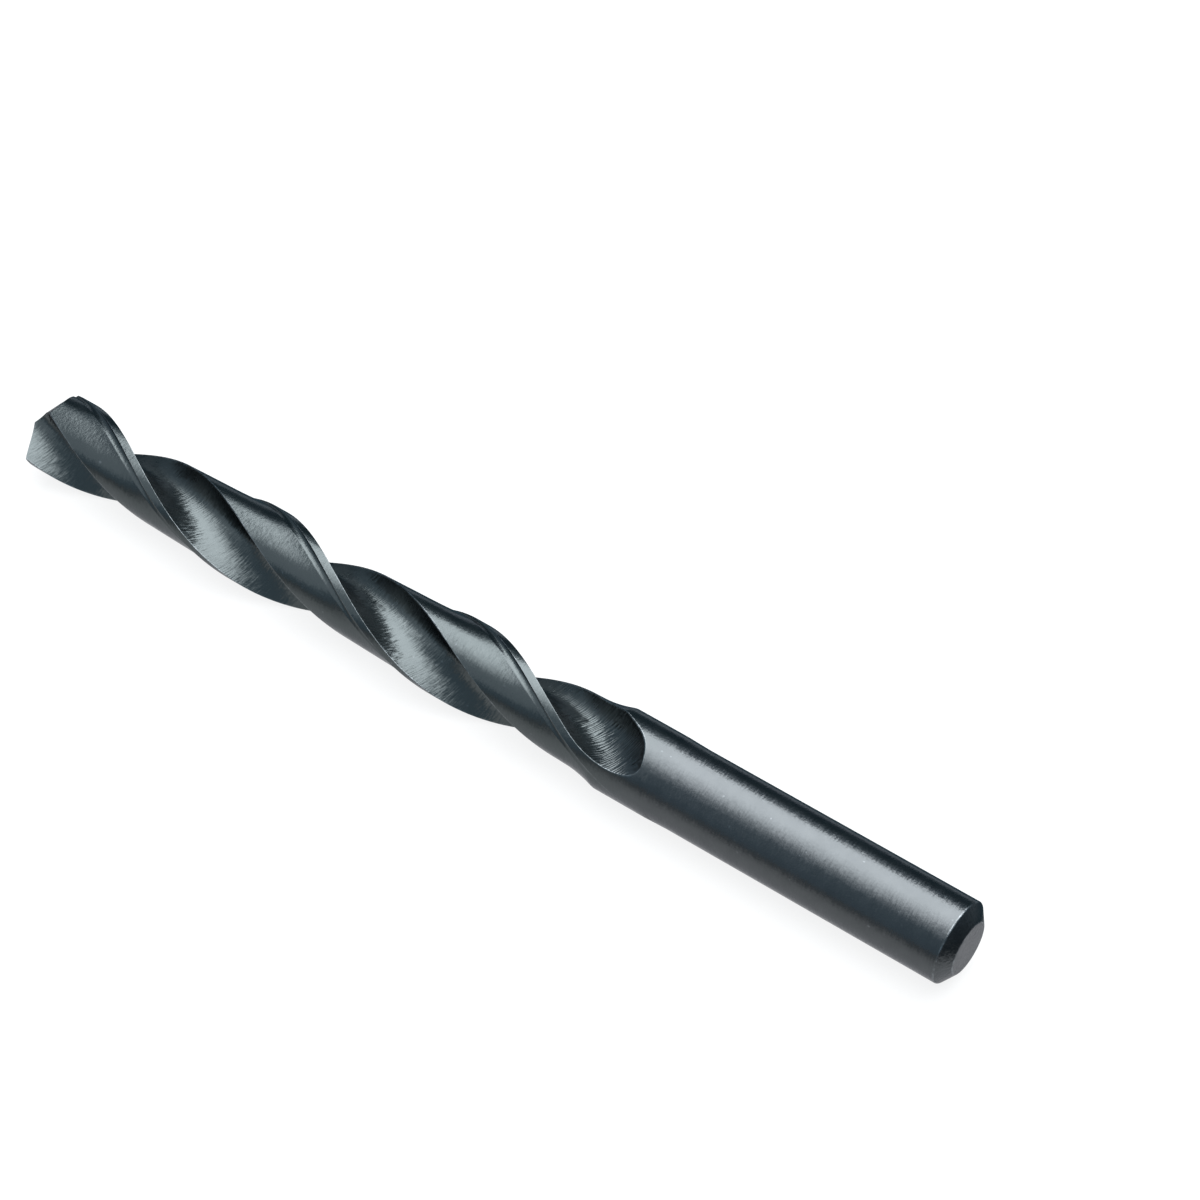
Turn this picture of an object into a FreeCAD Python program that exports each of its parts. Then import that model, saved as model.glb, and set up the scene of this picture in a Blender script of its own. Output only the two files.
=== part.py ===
"""Twist drill of high-speed steel, ground from one piece, lying on its side.

The drill lies along X with its shank end at -X and its point at +X, +Z is up, and the
origin is on the surface that it lies on, under the middle of its length. Millimetres.

A right-hand helix with two flutes. Every cross-section square to the axis is the same
section turned about the axis by one turn per lead, and the model is made the way the
drill is ground: a turned blank, then for each of its two lands a flute, the clearance
behind the margin, and the flank of the point. Stations are measured along the axis from
the shank end, and section angles from the leading edge of a margin.
"""
import FreeCAD, Part
import math
import os

import Sketcher
from FreeCAD import Placement, Rotation, Vector

SIZES = {
    "overall_length": 133.0,       # shank end to chisel edge
    "body_diameter": 10.2,         # across the margins
    "shank_diameter": 10.0,
    "shank_length": 41.5,          # shank end to the end of the flutes' run-out
    "shank_blend_length": 3.0,     # cone from the shank up to the body, before the flutes
    "shank_blend_gap": 2.0,        # cylinder left between that cone and the flutes
    "helix_lead": 59.8,            # axial length of one turn of a flute
    "roll_angle": 1.2,             # degrees from +Y up to the first margin, at the point
    "shank_chamfer_length": 1.3,
    "shank_face_diameter": 6.4,    # flat left inside the chamfer
    "web_thickness": 1.9,          # core between the flutes, at the point
    "web_growth": 1.0,             # how much thicker the core is at the run-out
    "flute_angle": 93.5,           # degrees from a margin to the heel of the other land
    "flute_floor_angle": 56.0,     # degrees from the margin to the flute's deepest line
    "face_hook_angle": 5.0,        # degrees that the flute's face leans behind a radius
    "heel_undercut_angle": 16.0,   # degrees that the flute leans in under the heel
    "face_reach": 3.7,             # how far the flute's face stays straight
    "floor_reach": 1.15,           # half length of the rounding at the flute's floor
    "heel_reach": 2.7,             # how far the flute stays straight under the heel
    "runout_length": 9.0,          # axial length over which a flute rises to the surface
    "runout_angle": 88.0,          # degrees from the margin to where the flute's wheel leaves
    "margin_width": 1.05,
    "step_width": 0.9,             # hollow between the margin and the cleared land
    "step_depth": 0.4,             # depth of the land under the margin, at the hollow
    "land_depth": 0.68,            # the same at the middle of the land
    "heel_depth": 0.85,            # the same at the heel
    "clearance_gap": 5.0,          # land left whole between the run-out's end and the clearance
    "clearance_runout": 4.0,       # axial length over which the clearance fades out
    "point_angle": 130.0,          # degrees between the lips
    "lip_relief_angle": 9.0,       # degrees that the flank falls away behind the lip
    "flank_drop": 4.0,             # how far the flank has fallen across the whole land
}
STATION_STEP = 2.0                 # spacing of the sections that carry the helix
CLEAR = 3.0                        # how far each cutter stands out past the blank
PAST_EDGE = 1.0                    # how far a curve runs on past the edge that it makes
LEAST_CUT = 1.0                    # cubic millimetres that each cutter takes off at least
LANDS = {"First": 0.0, "Second": 180.0}
NODE = "twist_drill"


def make_sheet(doc):
    """The driving sizes, one named cell each."""
    sheet = doc.addObject("Spreadsheet::Sheet", "Sizes")
    for row, (name, value) in enumerate(SIZES.items(), start=1):
        sheet.set(f"A{row}", name)
        sheet.set(f"B{row}", str(value))
        sheet.setAlias(f"B{row}", name)
    doc.recompute()
    return sheet


def make_blank(doc):
    """The turned blank: a chamfered shank, a slight cone and the cylinder of the body."""
    body = doc.addObject("PartDesign::Body", "Blank")
    plane = next(f for f in body.Origin.OriginFeatures if f.Role == "XZ_Plane")
    sketch = body.newObject("Sketcher::SketchObject", "BlankProfile")
    sketch.AttachmentSupport = [(plane, "")]
    sketch.MapMode = "FlatFace"
    corners = [(0, 0), (0, 3), (2, 5), (36, 5), (39, 6), (133, 6), (133, 0)]
    count = len(corners)
    for i in range(count):
        ends = [Vector(*corners[j % count], 0) for j in (i, i + 1)]
        sketch.addGeometry(Part.LineSegment(*ends), False)
    for i in range(count):
        sketch.addConstraint(Sketcher.Constraint("Coincident", i, 2, (i + 1) % count, 1))
    sketch.addConstraint(Sketcher.Constraint("Coincident", 0, 1, -1, 1))
    face, chamfer, shank, blend, margins, top, axis = range(count)
    for line in (face, top):
        sketch.addConstraint(Sketcher.Constraint("Vertical", line))
    for line in (shank, margins, axis):
        sketch.addConstraint(Sketcher.Constraint("Horizontal", line))
    blend_end = "Sizes.shank_length - Sizes.shank_blend_gap"
    bound = [
        ("DistanceY", face, "Sizes.shank_face_diameter / 2"),
        ("DistanceX", chamfer, "Sizes.shank_chamfer_length"),
        ("DistanceY", chamfer, "Sizes.shank_diameter / 2"),
        ("DistanceX", shank, f"{blend_end} - Sizes.shank_blend_length"),
        ("DistanceX", blend, blend_end),
        ("DistanceY", blend, "Sizes.body_diameter / 2"),
        ("DistanceX", margins, "Sizes.overall_length"),
    ]
    for kind, line, size in bound:
        index = sketch.addConstraint(Sketcher.Constraint(kind, -1, 1, line, 2, 5.0))
        sketch.setExpression(f"Constraints[{index}]", size)
    turned = body.newObject("PartDesign::Revolution", "Turned")
    turned.Profile = sketch
    turned.ReferenceAxis = (sketch, ["H_Axis"])
    turned.Angle = 360.0
    return body


def polar(radius, degrees):
    """A point of the section, at an angle from the margin's leading edge."""
    angle = math.radians(degrees)
    return Vector(0, radius * math.cos(angle), radius * math.sin(angle))


def half_web(sheet, station):
    """Half the thickness of the core, which grows evenly from the point to the shank."""
    share = (sheet.overall_length - station) / (sheet.overall_length - sheet.shank_length)
    return (sheet.web_thickness + sheet.web_growth * share) / 2


def helix_turn(sheet, station):
    """Turn about the axis from the section at the point to the one at a station."""
    return Rotation(Vector(1, 0, 0), 360 * (station - sheet.overall_length) / sheet.helix_lead)


def closed_wire(path):
    """A closed wire along a path of points, with a Bezier arc for each list of poles."""
    edges = []
    for item, following in zip(path, path[1:] + path[:1]):
        poles = item if isinstance(item, list) else [item]
        if len(poles) > 1:
            curve = Part.BezierCurve()
            curve.setPoles(poles)
            edges.append(curve.toShape())
        start = poles[-1]
        stop = following[0] if isinstance(following, list) else following
        if (stop - start).Length > 1e-6:
            edges.append(Part.makeLine(start, stop))
    return Part.Wire(edges)


def helical_cutter(sheet, section, lift_angle, end, runout, depth):
    """A solid through a section carried along the helix, lifted out over its run-out.

    The lift is nothing before the run-out, and then grows with the square of the way
    into it, up to the depth at the run-out's end, and on until the cutter is clear.
    """
    start = end + runout
    first = start - runout * math.sqrt(1 + CLEAR / depth)
    last = sheet.overall_length + CLEAR
    count = math.ceil((last - first) / STATION_STEP)
    wires = []
    for i in range(count + 1):
        station = first + (last - first) * i / count
        lift = depth * (max(0.0, start - station) / runout) ** 2
        wire = closed_wire(section(station))
        wire.translate(polar(lift, lift_angle))
        wire.Placement = Placement(Vector(station, 0, 0), helix_turn(sheet, station)) * wire.Placement
        wires.append(wire)
    return Part.makeLoft(wires, True, False)


def flute_shape(sheet):
    """What the flute wheel sweeps.

    Its section has two Bezier arcs that meet in line at the flute's floor: the face,
    which makes the cutting lip, and the back, which runs up under the heel. Past the
    margin and the heel it goes on outwards in line with them.
    """
    radius = sheet.body_diameter / 2
    along_floor = polar(1, sheet.flute_floor_angle + 90)
    inwards = polar(1, 180 + sheet.face_hook_angle)
    under_heel = polar(1, 180 + sheet.flute_angle - sheet.heel_undercut_angle)
    past_margin = polar(radius, 0) - inwards * PAST_EDGE
    past_heel = polar(radius - sheet.heel_depth, sheet.flute_angle) - under_heel * PAST_EDGE
    outside = [
        past_heel - under_heel * 2 * CLEAR,
        polar(3 * radius, sheet.flute_floor_angle),
        past_margin - inwards * 2 * CLEAR,
    ]

    def section(station):
        floor = polar(half_web(sheet, station), sheet.flute_floor_angle)
        face = [
            past_margin,
            past_margin + inwards * sheet.face_reach,
            floor - along_floor * sheet.floor_reach,
            floor,
        ]
        back = [
            floor,
            floor + along_floor * sheet.floor_reach,
            past_heel + under_heel * sheet.heel_reach,
            past_heel,
        ]
        return [face, back, *outside]

    depth = radius - half_web(sheet, sheet.shank_length)
    end = sheet.shank_length
    return helical_cutter(sheet, section, sheet.runout_angle, end, sheet.runout_length, depth)


def clearance_shape(sheet):
    """What is ground off behind the margin, so that only the margin touches the hole.

    Its section drops straight in at the back of the margin, rounds out into a hollow, and
    goes on in a flat arc through the land's depth at the hollow, at mid land and at the
    heel. The drop is a third of the hollow, so that no curve ends on the blank's surface.
    """
    radius = sheet.body_diameter / 2
    heel_angle = sheet.flute_angle - 180 - math.degrees(PAST_EDGE / radius)
    margin_angle = -math.degrees(sheet.margin_width / radius)
    step_angle = margin_angle - math.degrees(sheet.step_width / radius)
    middle_angle = (step_angle + heel_angle) / 2
    wall_foot = polar(radius - sheet.step_depth / 3, margin_angle)
    corner = polar(radius - sheet.step_depth, margin_angle)
    step = polar(radius - sheet.step_depth, step_angle)
    middle = polar(radius - sheet.land_depth, middle_angle)
    heel = polar(radius - sheet.heel_depth, heel_angle)
    outline = [
        polar(radius + 2 * CLEAR, margin_angle),
        [wall_foot, corner, step],
        [step, middle * 2 - (step + heel) * 0.5, heel],
        polar(radius + 2 * CLEAR, heel_angle),
        polar(radius + 3 * CLEAR, middle_angle),
    ]

    def section(_station):
        return outline

    depth = sheet.land_depth / math.cos(math.radians(middle_angle - step_angle))
    end = sheet.shank_length + sheet.clearance_gap
    return helical_cutter(sheet, section, middle_angle, end, sheet.clearance_runout, depth)


def flank_shape(sheet):
    """What is ground off above one flank of the point.

    The flank is part of a cylinder that lies parallel to the lip. Its arc starts at the
    lip with the relief angle and has fallen by the flank drop at the far side of the
    drill. Square to the lip, a place is given by its way behind the lip and its drop.
    """
    radius = sheet.body_diameter / 2
    ahead = sheet.web_thickness / 2
    half_point = math.radians(sheet.point_angle / 2)
    relief = math.radians(sheet.lip_relief_angle)
    width, drop = ahead + radius, sheet.flank_drop
    arc_radius = (width**2 + drop**2) / (2 * (drop * math.cos(relief) - width * math.sin(relief)))

    def drop_at(behind):
        inside = arc_radius**2 - (behind + arc_radius * math.sin(relief)) ** 2
        return arc_radius * math.cos(relief) - math.sqrt(inside)

    lip_reach = math.sqrt(radius**2 - ahead**2)
    lip_top = sheet.overall_length + drop_at(ahead) / math.sin(half_point)
    corner_station = lip_top - lip_reach / math.tan(half_point)

    outwards = Vector(0, 1, 0)
    leading = Vector(0, 0, 1)
    along_lip = outwards * math.sin(half_point) - Vector(1, 0, 0) * math.cos(half_point)
    above = outwards * math.cos(half_point) + Vector(1, 0, 0) * math.sin(half_point)
    lip_middle = Vector(lip_top, 0, 0) + leading * ahead

    def place(behind, fall):
        return lip_middle - leading * behind - above * fall

    crown = -arc_radius * math.sin(relief)
    arc = Part.Arc(
        place(crown, drop_at(crown)), place(width / 2, drop_at(width / 2)), place(width, drop)
    ).toShape()
    corners = [
        place(width, drop),
        place(width + CLEAR, drop + 2 * CLEAR),
        place(width + CLEAR, -radius - CLEAR),
        place(-width - CLEAR, -radius - CLEAR),
        place(-width - CLEAR, drop_at(crown)),
        place(crown, drop_at(crown)),
    ]
    outline = Part.Wire([arc] + [Part.makeLine(a, b) for a, b in zip(corners, corners[1:])])
    half_length = along_lip * (2 * radius)
    outline.translate(-half_length)
    prism = Part.Face(outline).extrude(half_length * 2)
    lip_angle = -math.degrees(math.asin(ahead / radius))
    prism.Placement = Placement(Vector(), helix_turn(sheet, corner_station)) * Placement(
        Vector(), Rotation(Vector(1, 0, 0), lip_angle)
    )
    return prism


def make_drill(doc, sheet):
    """The blank with the flute, the clearance and the flank of each land cut from it."""
    work = make_blank(doc)
    for name, shape in (
        ("Flute", flute_shape(sheet)),
        ("Clearance", clearance_shape(sheet)),
        ("Flank", flank_shape(sheet)),
    ):
        for land, turn in LANDS.items():
            cutter = doc.addObject("Part::Feature", f"{land}{name}Cutter")
            cutter.Shape = shape
            cutter.Placement = Placement(Vector(), Rotation(Vector(1, 0, 0), turn)) * cutter.Placement
            cut = doc.addObject("Part::Cut", f"{land}{name}")
            cut.Base = work
            cut.Tool = cutter
            work = cut
    work.Label = NODE
    work.Placement.Rotation = Rotation(Vector(1, 0, 0), sheet.roll_angle)
    work.setExpression("Placement.Rotation.Angle", "Sizes.roll_angle")
    work.setExpression("Placement.Base.x", "-Sizes.overall_length / 2")
    work.setExpression("Placement.Base.z", "Sizes.body_diameter / 2")
    return work


def check(doc, node):
    """Stops the build where an object failed, a cutter missed or the drill isn't one solid."""
    for obj in doc.Objects:
        if "Invalid" in obj.State or "Error" in obj.State:
            raise RuntimeError(f"{obj.Name} failed: {obj.State}")
    for cut in doc.findObjects("Part::Cut"):
        if cut.Base.Shape.Volume - cut.Shape.Volume < LEAST_CUT:
            raise RuntimeError(f"{cut.Name} took nothing off")
    shape = node.Shape
    if shape.isNull() or not shape.isValid() or len(shape.Solids) != 1:
        raise RuntimeError(f"{node.Label} is not one valid solid")


doc = FreeCAD.newDocument("twist_drill")
drill = make_drill(doc, make_sheet(doc))
doc.recompute()
check(doc, drill)
os.makedirs("parts", exist_ok=True)
drill.Shape.exportStep(f"parts/{drill.Label}.step")
print(f"{drill.Label}: {drill.Shape.Volume:.1f} mm3, {drill.Shape.BoundBox}")
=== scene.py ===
"""Finish of a high-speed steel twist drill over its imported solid, and a studio to see it in.

Everything is in metres and radians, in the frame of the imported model: the drill lies along
X with its point at +X, +Z is up, and the floor is at Z = 0 under the middle of its length.

A station is a distance along the axis from the shank end, and a section is what a plane
square to the axis cuts. Section angles are measured from the leading edge of a margin, in
a section that turns with the helix. The rows of the skin's grid are sections and its columns
follow the helix, so that every ground edge is a line of the grid.
"""
import math

import bmesh
import bpy
import numpy as np
from bpy.props import FloatProperty, FloatVectorProperty, PointerProperty
from mathutils import Matrix, Vector


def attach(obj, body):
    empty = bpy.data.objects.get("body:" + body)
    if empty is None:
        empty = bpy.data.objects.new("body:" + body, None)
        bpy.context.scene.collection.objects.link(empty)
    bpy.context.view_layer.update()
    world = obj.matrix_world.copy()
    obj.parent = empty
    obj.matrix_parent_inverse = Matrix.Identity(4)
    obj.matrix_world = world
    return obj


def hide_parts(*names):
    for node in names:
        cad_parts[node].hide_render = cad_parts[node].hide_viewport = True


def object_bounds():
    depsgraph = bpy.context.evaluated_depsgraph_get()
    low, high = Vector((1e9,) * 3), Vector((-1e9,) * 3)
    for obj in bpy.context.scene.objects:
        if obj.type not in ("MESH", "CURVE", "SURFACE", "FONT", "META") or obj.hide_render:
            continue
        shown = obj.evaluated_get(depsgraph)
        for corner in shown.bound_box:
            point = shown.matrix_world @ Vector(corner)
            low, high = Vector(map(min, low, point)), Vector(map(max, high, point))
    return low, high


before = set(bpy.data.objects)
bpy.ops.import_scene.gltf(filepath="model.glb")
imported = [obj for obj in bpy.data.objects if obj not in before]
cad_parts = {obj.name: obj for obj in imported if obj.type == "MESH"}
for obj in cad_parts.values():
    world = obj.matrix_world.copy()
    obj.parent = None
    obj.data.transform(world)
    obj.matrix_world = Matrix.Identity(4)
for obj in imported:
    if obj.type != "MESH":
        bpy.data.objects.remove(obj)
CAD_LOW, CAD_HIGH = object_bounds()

bl_info = {
    "name": "Twist Drill",
    "version": (1, 0, 0),
    "blender": (4, 5, 0),
    "location": "3D View > Sidebar > Drill",
    "description": "Builds a ground twist drill of black oxide steel and a studio around it",
    "category": "Add Mesh",
}

MM = 0.001
TINY = 1e-6                        # a micrometre, for steps that only keep things apart
SMOOTH_ANGLE = math.radians(32)    # faces that meet flatter than this shade as one
TRIES = 1200                       # steps in which a curve is searched for a crossing
FLANK_ROUNDS = 40                  # to find where the columns meet the flanks
CHISEL_ROUNDS = 30                 # to find where the two flanks meet

# Columns of half the grid, from one heel over the land and the margin through the flute.
LAND_COLUMNS = 46
HOLLOW_COLUMNS = 12
MARGIN_COLUMNS = 22
SIDE_COLUMNS = 44                  # on the flute's face, and as many on its back
EDGE_STEPS = 4                     # facets that round an edge
MARGIN_BACK = LAND_COLUMNS + HOLLOW_COLUMNS - 1
FLUTE_START = MARGIN_BACK + MARGIN_COLUMNS + 2 * (EDGE_STEPS - 1)

# Rows of the grid, and the lengths that they share out.
CLOSING_LENGTH = 4 * MM            # where the shank's columns close up to the flutes'
RUNOUT_ROWS = 45                   # closest together where the flutes start
ROW_STEP = 0.75 * MM               # along the full flutes
TIP_LENGTH = 9 * MM                # where the rows lean over to meet the flanks
TIP_ROWS = 16

# Where the camera stands and looks.
CAMERA_PLACE = (-0.1645, 0.2007, 0.3109)
CAMERA_LOOK = (0.3901, -0.5337, -0.7503)

FLOOR_REACH = 3.0                  # to each side
FLOOR_GAP = 0.02 * MM              # under the drill, so that the two never coincide

# Softboxes: the directions they span, in degrees up from +Y round the drill's axis, their
# ends along X in metres, and their share of the key. Together they are one soft light from
# above that falls off towards the camera's side.
SOFTBOXES = (
    (96, 137, -0.56, 0.68, 1.0),
    (84, 96, -0.56, 0.68, 0.85),
    (73, 84, -0.56, 0.7, 0.62),
    (63, 73, -0.56, 0.75, 0.38),
    (50, 63, -0.56, 0.4, 0.12),
    (20, 63, 0.4, 1.1, 0.11),
)

# Cards: name, x and y of both ends and heights of both edges in millimetres, and colour. Two
# keep the drill's far side and its end dark, and the strip draws a thin light line along it.
CARDS = (
    ("black_flag", (-90, -9.5), (90, -9.5), 0, 14, "#425e6a"),
    ("rim_strip", (-90, -9.4), (90, -9.4), 6.3, 8.3, "#c4d0d8"),
    ("end_flag", (-78, -9.3), (-78, 25), 0, 14, "#46535c"),
)


def srgb(code):
    """Linear colour of an sRGB hex code: ((c + 0.055) / 1.055) ** 2.4 above the toe."""
    values = np.array([int(code[i:i + 2], 16) / 255 for i in (1, 3, 5)])
    return tuple(np.where(values > 0.04045, ((values + 0.055) / 1.055) ** 2.4, values / 12.92))


def length_setting(name, description, millimetres):
    """A length that the user can change."""
    return FloatProperty(name=name, description=description, default=millimetres * MM,
                         min=0.0, precision=5, unit="LENGTH", subtype="DISTANCE")


def angle_setting(name, description, degrees):
    """An angle that the user can change."""
    return FloatProperty(name=name, description=description, default=math.radians(degrees),
                         unit="ROTATION", subtype="ANGLE")


def colour_setting(name, description, code):
    """A colour that the user can change."""
    return FloatVectorProperty(name=name, description=description, default=srgb(code),
                               size=3, min=0.0, max=1.0, subtype="COLOR")


def number_setting(name, description, value, **limits):
    """A plain number that the user can change."""
    return FloatProperty(name=name, description=description, default=value, min=0.0, **limits)


class DrillSizes(bpy.types.PropertyGroup):
    """Sizes of the drill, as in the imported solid, and of the fine edges that only show here."""

    overall_length: length_setting("Overall length", "Shank end to chisel edge",
                                   (CAD_HIGH.x - CAD_LOW.x) / MM)
    body_diameter: length_setting("Body diameter", "Across the margins",
                                  (CAD_HIGH.z - CAD_LOW.z) / MM)
    shank_diameter: length_setting("Shank diameter", "Plain cylinder that the chuck holds", 10.0)
    shank_length: length_setting("Shank length", "Shank end to the end of the run-outs", 41.5)
    blend_start: length_setting("Blend start", "Station where the shank starts to widen", 36.5)
    blend_end: length_setting("Blend end", "Station where it has the body's diameter", 39.5)
    helix_lead: length_setting("Lead", "Axial length of one turn of a flute", 59.8)
    roll_angle: angle_setting("Roll", "From +Y up to the first margin, at the point", 1.2)
    chamfer_length: length_setting("Chamfer length", "Of the shank end, along the axis", 1.3)
    face_diameter: length_setting("End face", "Flat left inside the chamfer", 6.4)
    web_thickness: length_setting("Web", "Core between the flutes, at the point", 1.9)
    web_growth: length_setting("Web growth", "How much thicker the core is at the run-out", 1.0)
    flute_angle: angle_setting("Flute angle", "From a margin to the heel of the other land", 93.5)
    floor_angle: angle_setting("Floor angle", "From the margin to the flute's deepest line", 56.0)
    hook_angle: angle_setting("Face hook", "How far the flute's face leans behind a radius", 5.0)
    undercut_angle: angle_setting("Heel undercut", "How far the flute leans in under it", 16.0)
    face_reach: length_setting("Face reach", "How far the flute's face stays straight", 3.7)
    floor_reach: length_setting("Floor reach", "Half length of the rounding at the floor", 1.15)
    heel_reach: length_setting("Heel reach", "How far it stays straight under the heel", 2.7)
    runout_length: length_setting("Run-out", "Over which a flute rises to the surface", 9.0)
    runout_angle: angle_setting("Run-out angle", "From the margin to the wheel's exit", 88.0)
    margin_width: length_setting("Margin width", "Land that touches the hole", 1.05)
    step_width: length_setting("Hollow width", "Between the margin and the cleared land", 0.9)
    step_depth: length_setting("Hollow depth", "Under the margin, at the hollow", 0.4)
    land_depth: length_setting("Land depth", "Under the margin, at mid land", 0.68)
    heel_depth: length_setting("Heel depth", "Under the margin, at the heel", 0.85)
    clearance_gap: length_setting("Clearance gap", "Land left whole past the run-outs' end", 5.0)
    clearance_runout: length_setting("Clearance run-out", "Length over which it fades out", 4.0)
    point_angle: angle_setting("Point angle", "Between the lips", 130.0)
    lip_relief_angle: angle_setting("Lip relief", "How the flank falls away behind the lip", 9.0)
    flank_drop: length_setting("Flank drop", "Fall of the flank across the whole land", 4.0)
    heel_bevel: length_setting("Heel bevel", "Width of the broken edge along the heel", 0.16)
    margin_edge: length_setting("Margin edge", "Rounding of the margin's two edges", 0.045)
    shank_edge: length_setting("Shank edge", "Rounding of the chamfer's two edges", 0.16)


class SteelFinish(bpy.types.PropertyGroup):
    """Colours and surface of the steel."""

    oxide: colour_setting("Oxide", "Steam-tempered skin in plain light", "#4e5153")
    thin_oxide: colour_setting("Thin oxide", "Where the skin is thinner", "#525557")
    body_oxide: colour_setting("Body oxide", "Cooler skin of the fluted body", "#4c5152")
    # Lighter edge colour: partly bare steel where the oxide wears off, partly a painted highlight
    # along the edges.
    worn_and_highlit: colour_setting("Worn edge", "Steel that shows on edges", "#8b9094")
    grazing: colour_setting("Grazing tint", "What the skin mirrors at a grazing look", "#dfdfe2")
    roughness: number_setting("Roughness", "Of the skin between marks", 0.23,
                              max=1.0, subtype="FACTOR")
    mark_depth: length_setting("Mark depth", "Height of the grinding marks", 0.03)


class StudioSettings(bpy.types.PropertyGroup):
    """Floor, light and lens."""

    floor: colour_setting("Floor", "Pale floor", "#f4f4f4")
    sky: colour_setting("Sky", "Even light from all around", "#9ab1c0")
    key: number_setting("Key", "Radiance of the strongest softbox", 5.5)
    focal: FloatProperty(name="Focal length", description="On a 36 mm wide sensor",
                         default=105.38, min=1.0, unit="CAMERA")


def polar(radius, angle):
    """Section points (radius cos angle, radius sin angle), that is y and z."""
    return np.stack(np.broadcast_arrays(radius * np.cos(angle), radius * np.sin(angle)), axis=-1)


def turned(points, angle):
    """Section points turned about the axis: (y cos - z sin, y sin + z cos)."""
    y, z = points[..., 0], points[..., 1]
    sine, cosine = np.sin(angle), np.cos(angle)
    return np.stack([y * cosine - z * sine, y * sine + z * cosine], axis=-1)


def bezier(poles, t):
    """Points of a Bezier curve: the sum over k of C(n, k) (1 - t)^(n - k) t^k times pole k."""
    degree = len(poles) - 1
    return sum(
        (math.comb(degree, k) * (1 - t) ** (degree - k) * t**k)[..., None] * pole
        for k, pole in enumerate(poles)
    )


def smooth(share):
    """The step 3 s^2 - 2 s^3, flat at both ends, of a share held between 0 and 1."""
    share = np.clip(share, 0.0, 1.0)
    return share * share * (3 - 2 * share)


def helix_turn(sizes, stations):
    """Turn of the section: the roll, less a full turn for each lead back from the point."""
    return sizes.roll_angle + 2 * math.pi * (stations - sizes.overall_length) / sizes.helix_lead


def flute_points(sizes, stations, t):
    """A flute's section at each station, for t from 0 to 2.

    The curve starts and ends a millimetre outside the margin and the heel. Two cubic Bezier
    arcs meet in line at the floor, which is half the web from the axis: the face for t to 1
    and the back from there. Over the run-out they move outwards by the depth of the flute
    times the square of the way into the run-out.
    """
    radius = sizes.body_diameter / 2
    to_point = (sizes.overall_length - stations) / (sizes.overall_length - sizes.shank_length)
    half_web = (sizes.web_thickness + sizes.web_growth * to_point) / 2
    floor = polar(half_web, sizes.floor_angle)[:, None, :]
    along_floor = polar(1.0, sizes.floor_angle + math.pi / 2)
    inwards = polar(1.0, math.pi + sizes.hook_angle)
    under_heel = polar(1.0, math.pi + sizes.flute_angle - sizes.undercut_angle)
    past_margin = polar(radius, 0.0) - inwards * MM
    past_heel = polar(radius - sizes.heel_depth, sizes.flute_angle) - under_heel * MM
    face = bezier([past_margin, past_margin + inwards * sizes.face_reach,
                   floor - along_floor * sizes.floor_reach, floor], np.clip(t, 0, 1))
    back = bezier([floor, floor + along_floor * sizes.floor_reach,
                   past_heel + under_heel * sizes.heel_reach, past_heel], np.clip(t - 1, 0, 1))
    depth = radius - (sizes.web_thickness + sizes.web_growth) / 2
    full = sizes.shank_length + sizes.runout_length
    into = np.maximum(0.0, full - stations) / sizes.runout_length
    lift = (depth * into**2)[:, None, None] * polar(1.0, sizes.runout_angle)
    return np.where((t < 1)[..., None], face, back) + lift


def land_profile(sizes):
    """Angles and depths of the ground land, from the back of the margin to past the heel.

    A quadratic Bezier arc hollows the land behind the margin, and another runs from there
    through mid land to the heel. Each point is given as its angle and how far it lies under
    the body's radius, and past the heel the depth eases out to nothing.
    """
    radius = sizes.body_diameter / 2
    margin_angle = -sizes.margin_width / radius
    step_angle = margin_angle - sizes.step_width / radius
    heel_angle = sizes.flute_angle - math.pi - MM / radius
    ease_angle = 0.2
    middle_angle = (step_angle + heel_angle) / 2
    step = polar(radius - sizes.step_depth, step_angle)
    middle = polar(radius - sizes.land_depth, middle_angle)
    heel = polar(radius - sizes.heel_depth, heel_angle)
    t = np.linspace(0, 1, 60)
    hollow = bezier([polar(radius - sizes.step_depth / 3, margin_angle),
                     polar(radius - sizes.step_depth, margin_angle), step], t)
    land = bezier([step, middle * 2 - (step + heel) / 2, heel], t)[1:]
    points = np.concatenate([hollow, land])
    angles = np.arctan2(points[:, 1], points[:, 0])
    depths = radius - np.hypot(points[:, 0], points[:, 1])
    ease = np.linspace(0, 1, 12)[1:]
    return (np.concatenate([[margin_angle + TINY], angles, heel_angle - ease_angle * ease]),
            np.concatenate([[0.0], depths, sizes.heel_depth * (1 - smooth(ease))]))


def clearance(sizes, stations, angles):
    """Depth of the land at any angle, faded out by the square of the way into its run-out."""
    profile_angles, depths = land_profile(sizes)
    depth = np.interp(np.mod(angles, math.pi) - math.pi, profile_angles[::-1], depths[::-1])
    end = sizes.shank_length + sizes.clearance_gap
    into = np.clip((end + sizes.clearance_runout - stations) / sizes.clearance_runout, 0, 1)
    return depth * (1 - into**2)


def blank_radius(sizes, stations):
    """Radius before the lands are ground: the shank, a slight cone, and the body."""
    return np.interp(stations, [sizes.blend_start, sizes.blend_end],
                     [sizes.shank_diameter / 2, sizes.body_diameter / 2])


def outside(sizes, stations, angles):
    """Section points on the outside of the lands: the blank's radius less the clearance."""
    return polar(blank_radius(sizes, stations) - clearance(sizes, stations, angles), angles)


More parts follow.
